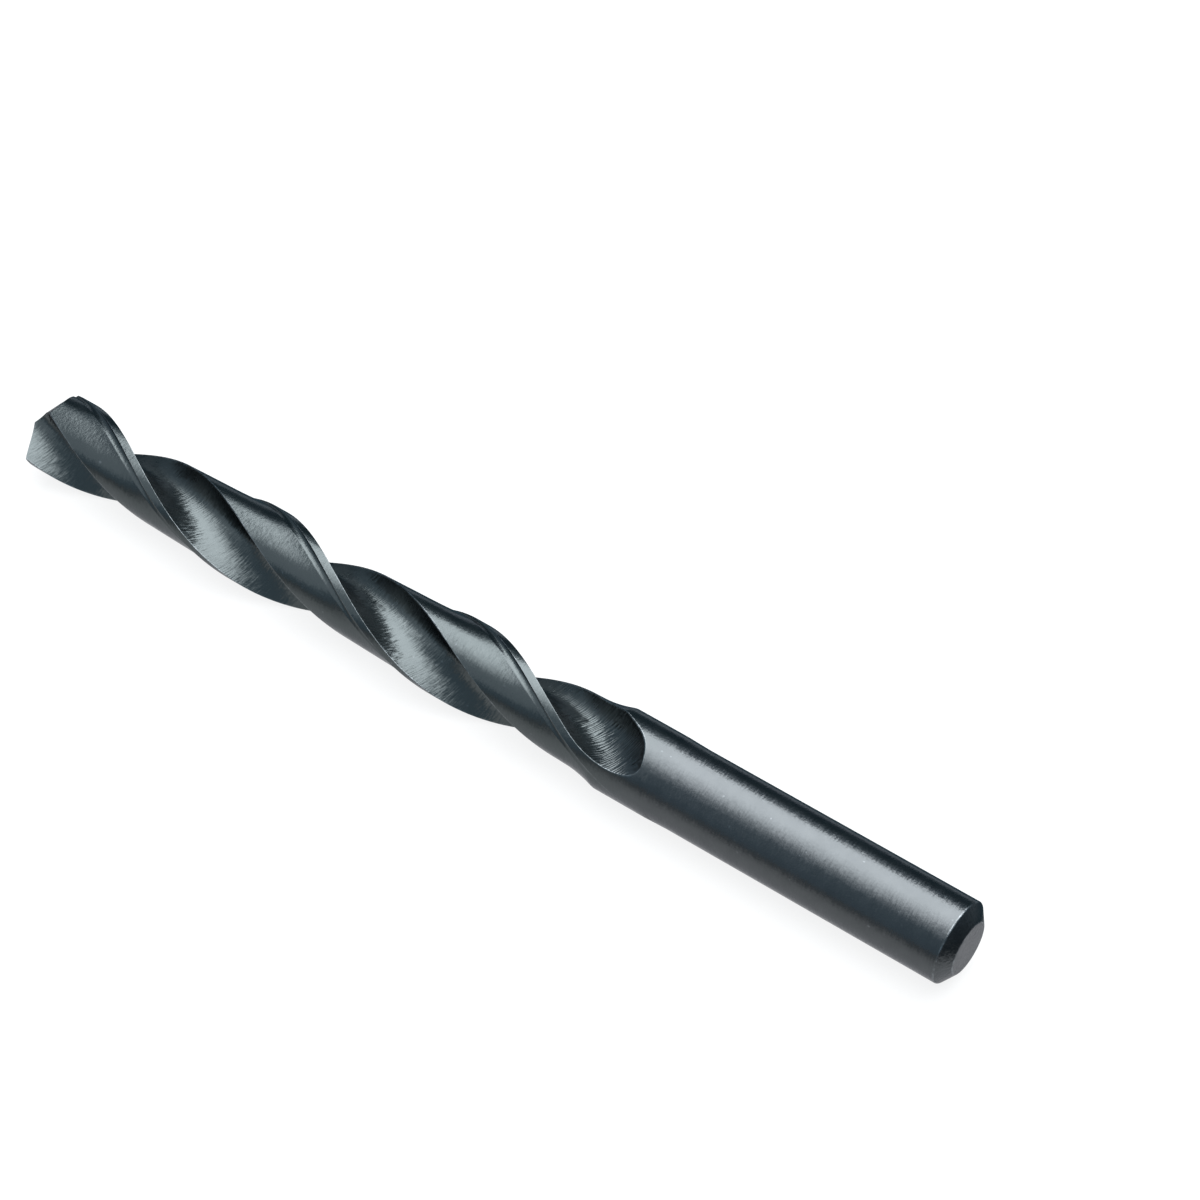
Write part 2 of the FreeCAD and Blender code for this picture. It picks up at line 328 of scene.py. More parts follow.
def flute_span(sizes, stations):
    """First and last t of the flute's curve that lies under the outside, and its depth there.

    The curve is tried at many t, and the change of sign is placed by linear interpolation.
    """
    t = np.linspace(0, 2, TRIES + 1)
    points = flute_points(sizes, stations, np.broadcast_to(t, (len(stations), t.size)))
    angles = np.arctan2(points[..., 1], points[..., 0])
    at = stations[:, None]
    under = (blank_radius(sizes, at) - clearance(sizes, at, angles)
             - np.hypot(points[..., 0], points[..., 1]))
    rows = np.arange(len(stations))

    def crossing(outer, inner):
        high, low = under[rows, outer], under[rows, inner]
        share = np.where(high == low, 0.0, high / np.where(high == low, 1.0, high - low))
        return t[outer] + np.clip(share, 0, 1) * (t[inner] - t[outer])

    first = np.maximum(np.argmax(under > 0, axis=1), 1)
    last = np.minimum(t.size - 1 - np.argmax(under[:, ::-1] > 0, axis=1), t.size - 2)
    return crossing(first - 1, first), crossing(last + 1, last), under.max(axis=1)


def runout_end(sizes):
    """Station where a flute first dips under the surface, to a hundredth of a millimetre."""
    full = sizes.shank_length + sizes.runout_length
    stations = np.arange(sizes.blend_end, full, 0.01 * MM)
    return stations[np.argmax(flute_span(sizes, stations)[2] > 0)]


def rounding(before, corner, after):
    """Points of an edge rounded off by a quadratic Bezier arc, without its two ends."""
    t = np.linspace(0, 1, EDGE_STEPS + 1)[1:-1]
    poles = [np.asarray(pole)[..., None, :] for pole in (before, corner, after)]
    return bezier(poles, t)


def flute_ends(sizes, stations):
    """Where a flute's edges are: its two corners, and width and t of the rounding at each.

    Along the curve a length is t times the speed, which a short step measures at each end.
    In a flute that is still narrow, the margin's edge takes at most a tenth of its width and
    the heel's bevel a fifth.
    """
    enter, leave, _ = flute_span(sizes, stations)
    step = 0.002
    t = np.stack([enter, enter + step, leave - step, leave], axis=1)
    corner, after, before, heel = np.moveaxis(flute_points(sizes, stations, t), 1, 0)
    width = np.linalg.norm(heel - corner, axis=-1)
    edge = np.minimum(sizes.margin_edge, width / 10)
    bevel = np.minimum(sizes.heel_bevel, width / 5)
    first = enter + edge * step / np.linalg.norm(after - corner, axis=-1)
    last = leave - bevel * step / np.linalg.norm(heel - before, axis=-1)
    return corner, heel, edge, bevel, first, np.maximum(first, last)


def half_section(sizes, stations, split):
    """Half of the outline at each station, in order of angle: a land and then its flute.

    The land runs from the heel over the hollow and the margin, at fixed shares of the angle
    between them. The flute follows at fixed shares of its curve, one of them the split, up
    to the other heel. Where two of these meet, the edge is rounded. At the margin's back
    the rounding starts 0.4 of the way down to the hollow.
    """
    radius = sizes.body_diameter / 2
    at = stations[:, None]
    lead_corner, heel_corner, edge, bevel, first, last = flute_ends(sizes, stations)
    lead_angle = np.arctan2(lead_corner[:, 1], lead_corner[:, 0])
    heel_angle = np.arctan2(heel_corner[:, 1], heel_corner[:, 0]) - math.pi
    margin_angle = -sizes.margin_width / radius
    step_angle = margin_angle - sizes.step_width / radius

    def arc(start, stop, count):
        angles = start + (stop - start) * np.linspace(0, 1, count)
        return outside(sizes, at, np.broadcast_to(angles, (len(stations), count)))

    land = arc((heel_angle + bevel / radius)[:, None], step_angle, LAND_COLUMNS)
    hollow = arc(step_angle, margin_angle - TINY, HOLLOW_COLUMNS)[:, 1:]
    margin = arc(margin_angle + sizes.margin_edge / radius,
                 (lead_angle - edge / radius)[:, None], MARGIN_COLUMNS)
    back_corner = arc(margin_angle + TINY, margin_angle + TINY, 1)[:, 0]
    wall = back_corner + 0.4 * (hollow[:, -1] - back_corner)
    even = np.linspace(0, 1, SIDE_COLUMNS + 1)
    share = np.concatenate([split * even[:-1], split + (1 - split) * even])
    flute = flute_points(sizes, stations, first[:, None] + (last - first)[:, None] * share)
    return np.concatenate([
        land, hollow, rounding(wall, back_corner, margin[:, 0]), margin,
        rounding(margin[:, -1], lead_corner, flute[:, 0]), flute,
        rounding(flute[:, -1], heel_corner, -land[:, 0]),
    ], axis=1)


def flank_heights(sizes, points):
    """Station of each flank above points of the part's own y and z, and where those points lie.

    A flank is a cylinder parallel to its lip: the lip's height, less the way outwards over
    the tangent of half the point angle, less the drop of the arc behind the lip over its
    sine. The second flank is the first one turned half way round. The last two values are
    the points' ways outwards along the first lip and ahead of it.
    """
    radius = sizes.body_diameter / 2
    ahead = sizes.web_thickness / 2
    half_point = sizes.point_angle / 2
    sine, cosine = math.sin(sizes.lip_relief_angle), math.cos(sizes.lip_relief_angle)
    width, drop = ahead + radius, sizes.flank_drop
    arc_radius = (width**2 + drop**2) / (2 * (drop * cosine - width * sine))

    def drop_at(behind):
        along = np.maximum(behind, -arc_radius * sine) + arc_radius * sine
        return arc_radius * cosine - np.sqrt(arc_radius**2 - along**2)

    lip_top = sizes.overall_length + drop_at(ahead) / math.sin(half_point)
    corner_station = lip_top - math.sqrt(radius**2 - ahead**2) / math.tan(half_point)
    lip_turn = math.asin(ahead / radius) - helix_turn(sizes, corner_station)
    outwards, leading = np.moveaxis(turned(points, lip_turn), -1, 0)

    def height(out, lead):
        return (lip_top - out / math.tan(half_point)
                - drop_at(ahead - lead) / math.sin(half_point))

    return height(outwards, leading), height(-outwards, -leading), outwards, leading


def ground_off(sizes, section_at, count):
    """Stations where columns meet the flanks: station = lower flank, iterated from the tip."""
    stations = np.full(count, sizes.overall_length)
    for _ in range(FLANK_ROUNDS):
        points = turned(section_at(stations), helix_turn(sizes, stations))
        stations = np.minimum(*flank_heights(sizes, points)[:2])
    return stations


def chisel_share(sizes):
    """Share of the flute's curve at which the two flanks meet: the end of the chisel edge.

    The middle of the curve is tried at many shares, and the change of sign of the flanks'
    difference is placed by linear interpolation.
    """
    tip = np.array([sizes.overall_length])
    first, last = (value[0] for value in flute_ends(sizes, tip)[4:])
    share = np.linspace(0.2, 0.8, 2 * TRIES + 1)
    t = (first + (last - first) * share)[:, None]

    def section_at(stations):
        return flute_points(sizes, stations, t)[:, 0]

    stations = ground_off(sizes, section_at, share.size)
    points = turned(section_at(stations), helix_turn(sizes, stations))
    own, other = flank_heights(sizes, points)[:2]
    gap = own - other
    i = np.flatnonzero(gap[:-1] * gap[1:] <= 0)[0]
    return share[i] + (share[i + 1] - share[i]) * gap[i] / (gap[i] - gap[i + 1])


def both_halves(half):
    """The whole outline: a half, and the same turned half way round the axis."""
    return np.concatenate([half, -half], axis=-2)


def body_rows(sizes, split):
    """Rows from the end of the flutes to the flanks of the point, as stations and y, z.

    They stand close together where the flutes run out, by the square of a share, and a
    steady step apart after that. The last rows share out the way to the flank, which is
    different for each column. The third value is half of the first row, before its turn.
    """
    end = runout_end(sizes)
    full = sizes.shank_length + sizes.runout_length
    tip = sizes.overall_length - TIP_LENGTH
    stations = np.concatenate([
        end + (full - end) * np.linspace(0, 1, RUNOUT_ROWS + 1)[1:] ** 2,
        np.linspace(full, tip, round((tip - full) / ROW_STEP))[1:],
    ])
    half = half_section(sizes, stations, split)
    rows = turned(both_halves(half), helix_turn(sizes, stations)[:, None])
    ends = np.array([tip, sizes.overall_length])
    near, far = both_halves(half_section(sizes, ends, split))

    def section_at(at):
        return near + (far - near) * ((at - tip) / (ends[1] - tip))[..., None]

    flank = ground_off(sizes, section_at, len(near))
    share = np.linspace(0, 1, TIP_ROWS + 1)[1:, None]
    tip_stations = tip + (flank - tip) * share
    tip_rows = turned(section_at(tip_stations), helix_turn(sizes, tip_stations))
    columns = np.broadcast_to(stations[:, None], rows.shape[:2])
    return np.concatenate([columns, tip_stations]), np.concatenate([rows, tip_rows]), half[0]


def shank_rows(sizes, first_half):
    """Rows from the middle of the end face to the first trace of the flutes.

    A turned profile of end face, chamfer and shank, with both edges rounded. Its columns
    stand evenly round the shank, and close up towards those of the first fluted section
    over the last few millimetres. The third value says which rows lie on a rounding.
    """
    end = runout_end(sizes)
    closing = end - CLOSING_LENGTH
    face, shank = sizes.face_diameter / 2, sizes.shank_diameter / 2
    reach = sizes.shank_edge
    corners = np.array([[0, face], [sizes.chamfer_length, shank]])
    slope = corners[1] - corners[0]
    slope = slope / np.linalg.norm(slope) * reach
    face_edge, shank_edge = (
        np.concatenate([[before], rounding(before, corner, after), [after]])
        for before, corner, after in (
            (corners[0] - [0, reach], corners[0], corners[0] + slope),
            (corners[1] - slope, corners[1], corners[1] + [reach, 0]),
        )
    )
    stations = np.concatenate([
        np.linspace(sizes.blend_start, closing, 4)[:-1],
        np.union1d(np.linspace(closing, end, 14), [sizes.blend_end]),
    ])
    face_rows = [[0, 0], [0, face / 2], [0, face - 2 * reach]]
    profile = np.concatenate([
        face_rows, face_edge, shank_edge,
        [[sizes.chamfer_length + 2 * reach, shank], [sizes.blend_start / 2, shank]],
        np.stack([stations, blank_radius(sizes, stations)], axis=1),
    ])
    at, radius = profile[:, :1], profile[:, 1:]
    closed = np.unwrap(np.arctan2(first_half[:, 1], first_half[:, 0]))
    even = closed[0] + math.pi * np.arange(closed.size) / closed.size
    angles = closed + (even - closed) * smooth((end - at) / CLOSING_LENGTH)
    radius = radius - clearance(sizes, at, angles)
    turn = helix_turn(sizes, np.maximum(at, closing))
    # Rows on the chamfer's roundings, which take the lighter edge colour: wear and a painted
    # highlight.
    worn_and_highlit = np.zeros(len(profile))
    worn_and_highlit[len(face_rows):][:2 * (EDGE_STEPS + 1)] = np.tile(np.pad(np.ones(EDGE_STEPS - 1), 1), 2)
    return (np.broadcast_to(at, (len(profile), 2 * closed.size)),
            turned(both_halves(polar(np.maximum(radius, 0), angles)), turn), worn_and_highlit)


def cap_grid(sizes, ring):
    """One flank of the point, between the chisel edge and the tip row's columns round a land.

    A Coons patch: opposite sides blended one way and the other, less the blend of the four
    corners. Its sides are the chisel edge, the flute's back, the land and the flute's face.
    The chisel edge is where both flanks are equally high, found by Newton's method across
    the straight line between its ends.
    """
    back, land = ring[:SIDE_COLUMNS + 1], ring[SIDE_COLUMNS:-SIDE_COLUMNS]
    face = ring[-SIDE_COLUMNS - 1:][::-1]
    across = np.linspace(0, 1, len(land))[:, None]
    way = face[0] - back[0]
    normal = np.array([-way[1], way[0]]) / np.linalg.norm(way)
    chisel = back[0] + way * across
    shift = np.zeros((len(land), 1))
    for _ in range(CHISEL_ROUNDS):
        own, other = flank_heights(sizes, chisel + shift * normal)[:2]
        ahead = flank_heights(sizes, chisel + (shift + TINY) * normal)
        slope = ((ahead[0] - ahead[1]) - (own - other)) / TINY
        shift = shift - ((own - other) / slope)[:, None]
    shift[[0, -1]] = 0
    chisel = chisel + shift * normal
    lengths = np.concatenate([[0], np.cumsum(np.linalg.norm(np.diff(land, axis=0), axis=1))])
    out = np.linspace(0, 1, SIDE_COLUMNS + 1)[:, None, None]
    over = (1 - out) * across + out * (lengths / lengths[-1])[:, None]
    points = ((1 - over) * back[:, None] + over * face[:, None]
              + (1 - out) * chisel + out * land
              - (1 - out) * ((1 - over) * back[0] + over * face[0])
              - out * ((1 - over) * back[-1] + over * face[-1]))
    points[-1], points[:, 0], points[:, -1] = land, back, face
    own, other, outwards, leading = flank_heights(sizes, points)
    return np.minimum(own, other), points, np.stack([outwards, leading], axis=-1)


def skin_grids(sizes):
    """The skin's three grids, each as stations, section points, UVs and whether it closes.

    The first goes round the drill from the middle of its end face to the flanks, with u the
    way along the profile and v the way round the section. The others are the two flanks,
    with the ways outwards and ahead of the lip. Also says which of the first rows take the
    lighter edge colour, partly wear and partly a painted highlight.
    """
    body_stations, body_points, first_half = body_rows(sizes, chisel_share(sizes))
    shank_stations, shank_points, worn_and_highlit_rows = shank_rows(sizes, first_half)
    stations = np.concatenate([shank_stations, body_stations])
    points = np.concatenate([shank_points, body_points])
    half = stations.shape[1] // 2

    steps = np.diff(points, axis=1, append=points[:, :1])
    around = np.cumsum(np.linalg.norm(steps, axis=-1), axis=1)
    around = np.pad(around, ((0, 0), (1, 0)))
    radius = np.hypot(points[..., 0], points[..., 1])
    along = stations + np.where(stations == 0, radius - sizes.face_diameter / 2, 0.0)
    along = np.concatenate([along, along[:, :1]], axis=1)
    grids = [(stations, points, np.stack([along, around], axis=-1), True)]

    split_column = FLUTE_START + SIDE_COLUMNS
    for start in (split_column - half, split_column):
        ring = points[-1, np.arange(start, start + half + 1) % (2 * half)]
        grids.append((*cap_grid(sizes, ring), False))
    return grids, worn_and_highlit_rows


def skin_masks(grids, worn_and_highlit_rows):
    """How far each vertex of the grids is in a flute, on an edge and on a flank, 0 to 1."""
    rows, columns = grids[0][0].shape
    in_flute, on_edge = np.zeros((2, columns // 2))
    in_flute[FLUTE_START:FLUTE_START + 2 * SIDE_COLUMNS + 1] = 1
    for edge in (
        slice(0, 1), slice(MARGIN_BACK, MARGIN_BACK + EDGE_STEPS),
        slice(FLUTE_START - EDGE_STEPS, FLUTE_START + 1), slice(-EDGE_STEPS, None),
    ):
        on_edge[edge] = 1
    fluted = (np.arange(rows) >= worn_and_highlit_rows.size)[:, None]
    turned_edge = np.pad(worn_and_highlit_rows, (0, rows - worn_and_highlit_rows.size))[:, None]
    masks = {
        "flute": [np.tile(in_flute, 2) * fluted],
        "edge": [np.maximum(np.tile(on_edge, 2) * fluted, turned_edge)],
        "flank": [np.zeros((rows, columns))],
    }
    for flank, *_ in grids[1:]:
        for name, parts in masks.items():
            parts.append(np.full(flank.shape, float(name == "flank")))
    return {name: np.concatenate([part.ravel() for part in parts])
            for name, parts in masks.items()}


def grid_faces(rows, columns, closed):
    """Quads of a grid of vertices, and of its UVs, which have a column more where it closes."""
    i, j = np.meshgrid(np.arange(rows - 1), np.arange(columns - (not closed)), indexing="ij")
    corners = [(i, j), (i, j + 1), (i + 1, j + 1), (i + 1, j)]
    vertices = np.stack([a * columns + b % columns for a, b in corners], axis=-1)
    uvs = np.stack([a * (columns + closed) + b for a, b in corners], axis=-1)
    return vertices.reshape(-1, 4), uvs.reshape(-1, 4)


def make_skin(sizes, name):
    """The whole skin as one closed mesh, with a UV map in millimetres and its masks."""
    grids, worn_and_highlit_rows = skin_grids(sizes)
    vertices, faces, uvs, uv_faces = [], [], [], []
    first = first_uv = 0
    for stations, points, uv, closed in grids:
        quads, uv_quads = grid_faces(*stations.shape, closed)
        vertices.append(np.concatenate([
            (stations - sizes.overall_length / 2).reshape(-1, 1),
            points.reshape(-1, 2) + [0, sizes.body_diameter / 2],
        ], axis=1))
        faces.append(quads + first)
        uvs.append(uv.reshape(-1, 2) / MM)
        uv_faces.append(uv_quads + first_uv)
        first += stations.size
        first_uv += uv.size // 2

    mesh = bpy.data.meshes.new(name)
    mesh.from_pydata(np.concatenate(vertices), [], np.concatenate(faces))
    layer = mesh.uv_layers.new(name="Millimetres")
    layer.uv.foreach_set("vector", np.concatenate(uvs)[np.concatenate(uv_faces)].ravel())
    for mask, values in skin_masks(grids, worn_and_highlit_rows).items():
        mesh.attributes.new(mask, "FLOAT", "POINT").data.foreach_set("value", values)
    weld(mesh)
    return mesh


def weld(mesh):
    """Joins the grids where they meet, closes the poles, and turns all faces outwards."""
    work = bmesh.new()
    work.from_mesh(mesh)
    bmesh.ops.remove_doubles(work, verts=work.verts, dist=TINY / 5)
    bmesh.ops.recalc_face_normals(work, faces=work.faces)
    work.to_mesh(mesh)
    work.free()
    mesh.shade_smooth()
    mesh.set_sharp_from_angle(angle=SMOOTH_ANGLE)


def add(tree, kind, inputs=(), **settings):
    """A new node with its settings, each input linked to a socket or set to a value.

    Inputs go by name, or by number where several share a name: on a Mix node 0 is the factor,
    2 and 3 are its two numbers, and 6 and 7 its two colours.
    """
    node = tree.nodes.new(kind)
    for name, value in settings.items():
        setattr(node, name, value)
    for key, value in dict(inputs).items():
        if isinstance(value, bpy.types.NodeSocket):
            tree.links.new(value, node.inputs[key])
        else:
            node.inputs[key].default_value = value
    return node


def wheel_marks(tree, flute):
    """Height of the marks that the wheel left, and a normal that leans along them.

    They run round the drill, but square to the helix in a flute, where u + 0.35 v stays the
    same, by the helix's slope half way down a flute. Real ones are some 0.05 mm apart: drawn
    0.2 to 0.3 mm apart, so that a pixel can show them. A mark leans a little from side to side
    along its length, which frays a highlight.
    """
    millimetres = add(tree, "ShaderNodeUVMap", uv_map="Millimetres").outputs["UV"]
    ways = add(tree, "ShaderNodeSeparateXYZ", {0: millimetres}).outputs
    slanted = add(tree, "ShaderNodeVectorMath", {0: millimetres, 1: (1.0, 0.35, 0.0)},
                  operation="DOT_PRODUCT").outputs["Value"]
    slanted = add(tree, "ShaderNodeCombineXYZ", {"X": slanted, "Y": ways["Y"]}).outputs["Vector"]
    # Each pattern's cells to a millimetre, across the marks and along them. A ridge takes up
    # a third of a cell.
    rings, streaks, ridges = (
        add(tree, "ShaderNodeVectorMath", {0: place, 1: (across, along, 1.0)},
            operation="MULTIPLY").outputs["Vector"]
        for place, across, along in (
            (millimetres, 5.0, 0.9), (slanted, 5.0, 0.8), (slanted, 1.05, 0.12),
        )
    )
    rings, streaks = (
        add(tree, "ShaderNodeTexNoise", {
            "Vector": place, "Scale": 1.0, "Detail": detail, "Roughness": roughness,
        }).outputs["Fac"]
        for place, detail, roughness in ((rings, 4.0, 0.65), (streaks, 3.0, 0.6))
    )
    ridges = add(tree, "ShaderNodeTexWave", {
        "Vector": ridges, "Scale": 1.0, "Distortion": 9.0, "Detail": 3.0, "Detail Scale": 1.2,
    }).outputs["Fac"]
    marks = add(tree, "ShaderNodeMix", {0: flute, 2: rings, 3: streaks}).outputs[0]

    lean = add(tree, "ShaderNodeMapRange", {
        "Value": flute, "To Min": 0.14, "To Max": 0.36}).outputs["Result"]
    tilt = add(tree, "ShaderNodeMath", {0: marks, 1: 0.5}, operation="SUBTRACT").outputs[0]
    tilt = add(tree, "ShaderNodeMath", {0: tilt, 1: lean, 2: 0.5},
               operation="MULTIPLY_ADD").outputs[0]
    tilt = add(tree, "ShaderNodeCombineXYZ", {"X": 0.5, "Y": tilt, "Z": 1.0}).outputs["Vector"]
    leaning = add(tree, "ShaderNodeNormalMap", {"Color": tilt}, uv_map="Millimetres")

    depth = add(tree, "ShaderNodeMapRange", {
        "Value": flute, "To Min": 0.12, "To Max": 0.45}).outputs["Result"]
    height = add(tree, "ShaderNodeMath", {0: marks, 1: depth}, operation="MULTIPLY").outputs[0]
    # Ridges are deep where the wheel left a flute, from the station of 48 mm back, and faint
    # from 62 mm on to the point.
    depth = add(tree, "ShaderNodeMapRange", {
        "Value": ways["X"], "From Min": 62.0, "From Max": 48.0, "To Min": 0.15, "To Max": 0.6,
    }).outputs["Result"]
    depth = add(tree, "ShaderNodeMath", {0: flute, 1: depth}, operation="MULTIPLY").outputs[0]
    height = add(tree, "ShaderNodeMath", {0: ridges, 1: depth, 2: height},
                 operation="MULTIPLY_ADD").outputs[0]
    return height, leaning.outputs["Normal"]


def oxide_colour(tree, finish, along, edge, clouds, rubbing, nicks):
    """Colour of the oxide: thinner in clouds, cooler on the body, worn off at nicks, and lighter
    on edges, partly as wear and partly as a painted highlight.

    The body's colour comes in over the 10 mm up to X = -18 mm, where the flutes start.
    """
    thinner = add(tree, "ShaderNodeMapRange", {
        "Value": clouds, "From Min": 0.35, "From Max": 0.7}).outputs["Result"]
    body = add(tree, "ShaderNodeMapRange", {
        "Value": along, "From Min": -28 * MM, "From Max": -18 * MM}).outputs["Result"]
    # Edges are lighter: partly oxide rubbed off, partly a painted highlight along each edge.
    rubbed_and_highlit = add(tree, "ShaderNodeMapRange", {
        "Value": rubbing, "From Min": 0.4, "From Max": 0.75, "To Min": 0.08, "To Max": 0.7,
    }).outputs["Result"]
    rubbed_and_highlit = add(tree, "ShaderNodeMath", {0: edge, 1: rubbed_and_highlit}, operation="MULTIPLY").outputs[0]
    nicked = add(tree, "ShaderNodeMapRange", {
        "Value": nicks, "From Min": 0.8, "From Max": 0.9, "To Max": 0.25}).outputs["Result"]
    wear_and_highlight = add(tree, "ShaderNodeMath", {0: rubbed_and_highlit, 1: nicked}, operation="MAXIMUM").outputs[0]
    colour = (*finish.oxide, 1)
    for share, other in (
        (thinner, finish.thin_oxide), (body, finish.body_oxide), (wear_and_highlight, finish.worn_and_highlit),
    ):
        colour = add(tree, "ShaderNodeMix", {0: share, 6: colour, 7: (*other, 1)},
                     data_type="RGBA").outputs[2]
    return colour


def black_oxide_steel(sizes, finish):
    """Ground high-speed steel, steam tempered to a thin blue-black oxide.

    The oxide is a fraction of a micrometre thick, so the steel's grinding marks show through
    it: it mirrors softly like a dark metal, less than clean steel at a grazing look, and the
    light breaks up along the marks. The shank end is turned but not ground, so it is coarser
    and duller than the rest.
    """
    material = bpy.data.materials.new("steam_tempered_high_speed_steel")
    material.use_nodes = True
    tree = material.node_tree
    tree.nodes.clear()
    flute, edge, flank = (
        add(tree, "ShaderNodeAttribute", attribute_name=name).outputs["Fac"]
        for name in ("flute", "edge", "flank")
    )
    place = add(tree, "ShaderNodeTexCoord").outputs["Object"]
    along = add(tree, "ShaderNodeSeparateXYZ", {0: place}).outputs["X"]
    chamfer_end = CAD_LOW.x + sizes.chamfer_length
    turned_end = add(tree, "ShaderNodeMapRange", {
        "Value": along, "From Min": chamfer_end + 0.2 * MM, "From Max": chamfer_end - 0.1 * MM,
    }).outputs["Result"]
    # Each pattern's cells to a millimetre, its octaves, and how strong the finer ones are.
    # The oxide's own grain is finer than a pixel: drawn 0.4 mm wide, so that it shows.
    grain, clouds, rubbing, nicks = (
        add(tree, "ShaderNodeTexNoise", {
            "Vector": place, "Scale": cells / MM, "Detail": detail, "Roughness": roughness,
        }).outputs["Fac"]
        for cells, detail, roughness in (
            (2.6, 3.0, 0.6), (0.6, 4.0, 0.5), (1.5, 3.0, 0.5), (2.2, 0.0, 0.5),
        )
    )

    height, leaning = wheel_marks(tree, flute)
    depth = add(tree, "ShaderNodeMapRange", {
        "Value": turned_end, "To Min": 0.6, "To Max": 2.8}).outputs["Result"]
    height = add(tree, "ShaderNodeMath", {0: grain, 1: depth, 2: height},
                 operation="MULTIPLY_ADD").outputs[0]
    relief = add(tree, "ShaderNodeBump", {
        "Strength": 1.0, "Distance": finish.mark_depth, "Height": height, "Normal": leaning})

    sheen = add(tree, "ShaderNodeMapRange", {
        "Value": clouds, "From Min": 0.3, "From Max": 0.7,
        "To Min": finish.roughness - 0.015, "To Max": finish.roughness + 0.025,
    }).outputs["Result"]
    duller = add(tree, "ShaderNodeMath", {0: flute, 1: flank}, operation="ADD").outputs[0]
    duller = add(tree, "ShaderNodeMath", {0: turned_end, 1: 2.0, 2: duller},
                 operation="MULTIPLY_ADD").outputs[0]
    roughness = add(tree, "ShaderNodeMath", {0: duller, 1: 0.05, 2: sheen},
                    operation="MULTIPLY_ADD").outputs[0]
    shader = add(tree, "ShaderNodeBsdfPrincipled", {
        "Base Color": oxide_colour(tree, finish, along, edge, clouds, rubbing, nicks),
        "Metallic": 1.0, "Roughness": roughness, "Normal": relief.outputs["Normal"],
        "Specular Tint": (*finish.grazing, 1),
    })
    add(tree, "ShaderNodeOutputMaterial", {"Surface": shader.outputs["BSDF"]})
    return material


class TWISTDRILL_OT_drill(bpy.types.Operator):
    """Build the drill's ground skin and its steel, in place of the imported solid"""

    bl_idname = "twistdrill.drill"
    bl_label = "Build the drill"

    def execute(self, context):
        scene = context.scene
        name = "twist_drill_skin"
        drill = bpy.data.objects.new(name, make_skin(scene.drill_sizes, name))
        scene.collection.objects.link(drill)
        drill.data.materials.append(black_oxide_steel(scene.drill_sizes, scene.drill_finish))
        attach(drill, "root")
        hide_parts("twist_drill")
        return {"FINISHED"}


def floor_material(studio):
    """Matt painted board: a pale floor that takes a soft shadow and fades to plain white.

    The camera and what the drill mirrors see it mostly as even white, and for the rest as it
    is lit, with the drill's shadow. What the drill mirrors dims from 6 mm to 45 mm off its
    axis, a painted shade of a board falling off into the dark: the distance is the length of
    |position| less half the drill's length along X.
    """
    material = bpy.data.materials.new("matt_white_board")
    material.use_nodes = True
    tree = material.node_tree
    tree.nodes.clear()
    board = add(tree, "ShaderNodeBsdfDiffuse", {"Color": (*studio.floor, 1)})
    rays = add(tree, "ShaderNodeLightPath").outputs
    away = add(tree, "ShaderNodeTexCoord").outputs["Object"]
    for operation, other in (
        ("ABSOLUTE", (0, 0, 0)), ("SUBTRACT", (CAD_HIGH.x, 0, 0)), ("MAXIMUM", (0, 0, 0)),
    ):
        away = add(tree, "ShaderNodeVectorMath", {0: away, 1: other},
                   operation=operation).outputs["Vector"]
    away = add(tree, "ShaderNodeVectorMath", {0: away}, operation="LENGTH").outputs["Value"]
    # Painted shade: the white that the drill mirrors fades with the distance from it.
    painted_dimming = add(tree, "ShaderNodeMapRange", {
        "Value": away, "From Min": 6 * MM, "From Max": 45 * MM, "To Min": 1.0, "To Max": 0.08,
    }).outputs["Result"]
    level = add(tree, "ShaderNodeMath", {0: rays["Is Camera Ray"], 1: painted_dimming},
                operation="MAXIMUM").outputs[0]
    white = add(tree, "ShaderNodeEmission", {"Color": (1, 1, 1, 1), "Strength": level})
    seen = rays["Is Camera Ray"]
    for kind in ("Is Glossy Ray", "Is Transmission Ray"):
        seen = add(tree, "ShaderNodeMath", {0: seen, 1: rays[kind]},
                   operation="MAXIMUM").outputs[0]
    share = add(tree, "ShaderNodeMath", {0: seen, 1: 0.85}, operation="MULTIPLY").outputs[0]
    mixed = add(tree, "ShaderNodeMixShader", {0: share, 1: board.outputs[0], 2: white.outputs[0]})
    add(tree, "ShaderNodeOutputMaterial", {"Surface": mixed.outputs[0]})
    return material


def softbox(scene, name, low, high, left, right, radiance):
    """A lamp that faces the drill from 1 m and fills a span of directions round the X axis.

    Low and high are angles up from +Y, and left and right are its ends along X. Its power is
    radiance x pi x area.
    """
    middle = (low + high) / 2
    outwards = Vector((0, math.cos(middle), math.sin(middle)))
    across = Vector((0, -math.sin(middle), math.cos(middle)))
    lamp = bpy.data.lights.new(name, "AREA")
    lamp.shape = "RECTANGLE"
    lamp.size, lamp.size_y = right - left, 2 * math.tan((high - low) / 2)
    lamp.energy = radiance * math.pi * lamp.size * lamp.size_y
    holder = bpy.data.objects.new(name, lamp)
    holder.matrix_world = Matrix((across.cross(outwards), across, outwards)).transposed().to_4x4()
    holder.location = outwards + Vector(((left + right) / 2, 0, 0))
    scene.collection.objects.link(holder)


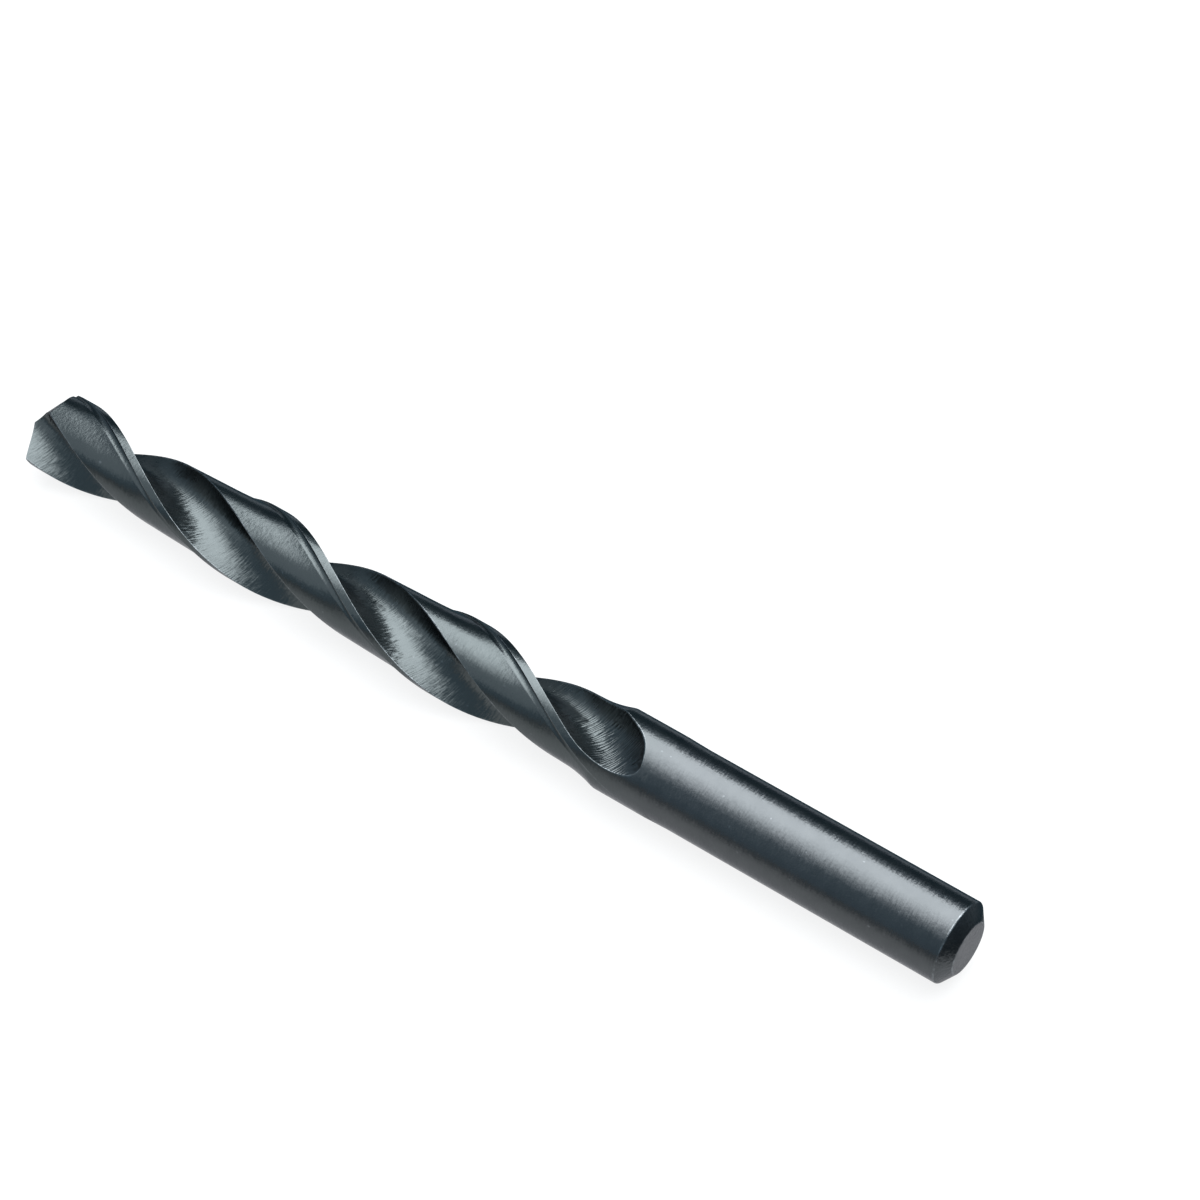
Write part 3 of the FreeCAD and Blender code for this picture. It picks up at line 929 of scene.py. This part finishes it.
def card(scene, name, start, end, low, high, code):
    """An upright card that is seen only in the drill, as one even colour, as matt paper is."""
    corners = [(*start, low), (*end, low), (*end, high), (*start, high)]
    mesh = bpy.data.meshes.new(name)
    mesh.from_pydata([Vector(corner) * MM for corner in corners], [], [(0, 1, 2, 3)])
    material = bpy.data.materials.new("matt_paper_card")
    material.use_nodes = True
    tree = material.node_tree
    tree.nodes.clear()
    even = add(tree, "ShaderNodeEmission", {"Color": (*srgb(code), 1), "Strength": 1.0})
    add(tree, "ShaderNodeOutputMaterial", {"Surface": even.outputs[0]})
    mesh.materials.append(material)
    holder = bpy.data.objects.new(name, mesh)
    holder.visible_camera = holder.visible_diffuse = holder.visible_shadow = False
    scene.collection.objects.link(holder)


class TWISTDRILL_OT_studio(bpy.types.Operator):
    """Set the floor, the lights, the sky and the camera around the drill"""

    bl_idname = "twistdrill.studio"
    bl_label = "Set the studio"

    def execute(self, context):
        scene = context.scene
        studio = scene.drill_studio
        corners = [(x * FLOOR_REACH, y * FLOOR_REACH, 0)
                   for x, y in ((-1, -1), (1, -1), (1, 1), (-1, 1))]
        mesh = bpy.data.meshes.new("floor")
        mesh.from_pydata(corners, [], [(0, 1, 2, 3)])
        mesh.materials.append(floor_material(studio))
        floor = bpy.data.objects.new("floor", mesh)
        floor.location.z = -FLOOR_GAP
        scene.collection.objects.link(floor)

        for low, high, left, right, share in SOFTBOXES:
            softbox(scene, f"softbox_{low}", math.radians(low), math.radians(high),
                    left, right, share * studio.key)
        for settings in CARDS:
            card(scene, *settings)

        world = bpy.data.worlds.new("studio")
        scene.world = world
        world.use_nodes = True
        sky = world.node_tree.nodes["Background"]
        sky.inputs["Color"].default_value = (*studio.sky, 1)
        sky.inputs["Strength"].default_value = 1.0

        lens = bpy.data.cameras.new("camera")
        lens.lens = studio.focal
        lens.sensor_width = 36
        lens.clip_start, lens.clip_end = 0.01, 20
        camera = bpy.data.objects.new("camera", lens)
        camera.location = CAMERA_PLACE
        camera.rotation_euler = Vector(CAMERA_LOOK).to_track_quat("-Z", "Y").to_euler()
        scene.collection.objects.link(camera)
        scene.camera = camera
        scene.view_settings.view_transform = "Standard"
        return {"FINISHED"}


class TWISTDRILL_PT_panel(bpy.types.Panel):
    """Sizes, finish and studio of the twist drill, with a button for each step"""

    bl_idname = "TWISTDRILL_PT_panel"
    bl_label = "Twist Drill"
    bl_space_type = "VIEW_3D"
    bl_region_type = "UI"
    bl_category = "Drill"

    def draw(self, context):
        scene = context.scene
        for settings, operator in (
            (scene.drill_sizes, None),
            (scene.drill_finish, TWISTDRILL_OT_drill.bl_idname),
            (scene.drill_studio, TWISTDRILL_OT_studio.bl_idname),
        ):
            column = self.layout.column(align=True)
            for name in settings.__annotations__:
                column.prop(settings, name)
            if operator:
                self.layout.operator(operator)


SETTINGS = {
    "drill_sizes": DrillSizes,
    "drill_finish": SteelFinish,
    "drill_studio": StudioSettings,
}
CLASSES = (*SETTINGS.values(), TWISTDRILL_OT_drill, TWISTDRILL_OT_studio, TWISTDRILL_PT_panel)


def register():
    """Adds the classes, and their settings to every scene."""
    for cls in CLASSES:
        bpy.utils.register_class(cls)
    for name, group in SETTINGS.items():
        setattr(bpy.types.Scene, name, PointerProperty(type=group))


def unregister():
    """Takes away what register adds, in the other order."""
    for name in SETTINGS:
        delattr(bpy.types.Scene, name)
    for cls in reversed(CLASSES):
        bpy.utils.unregister_class(cls)


def main():
    """Registers the add-on, and builds the drill and the studio."""
    register()
    bpy.ops.twistdrill.drill()
    bpy.ops.twistdrill.studio()


if __name__ == "__main__":
    main()
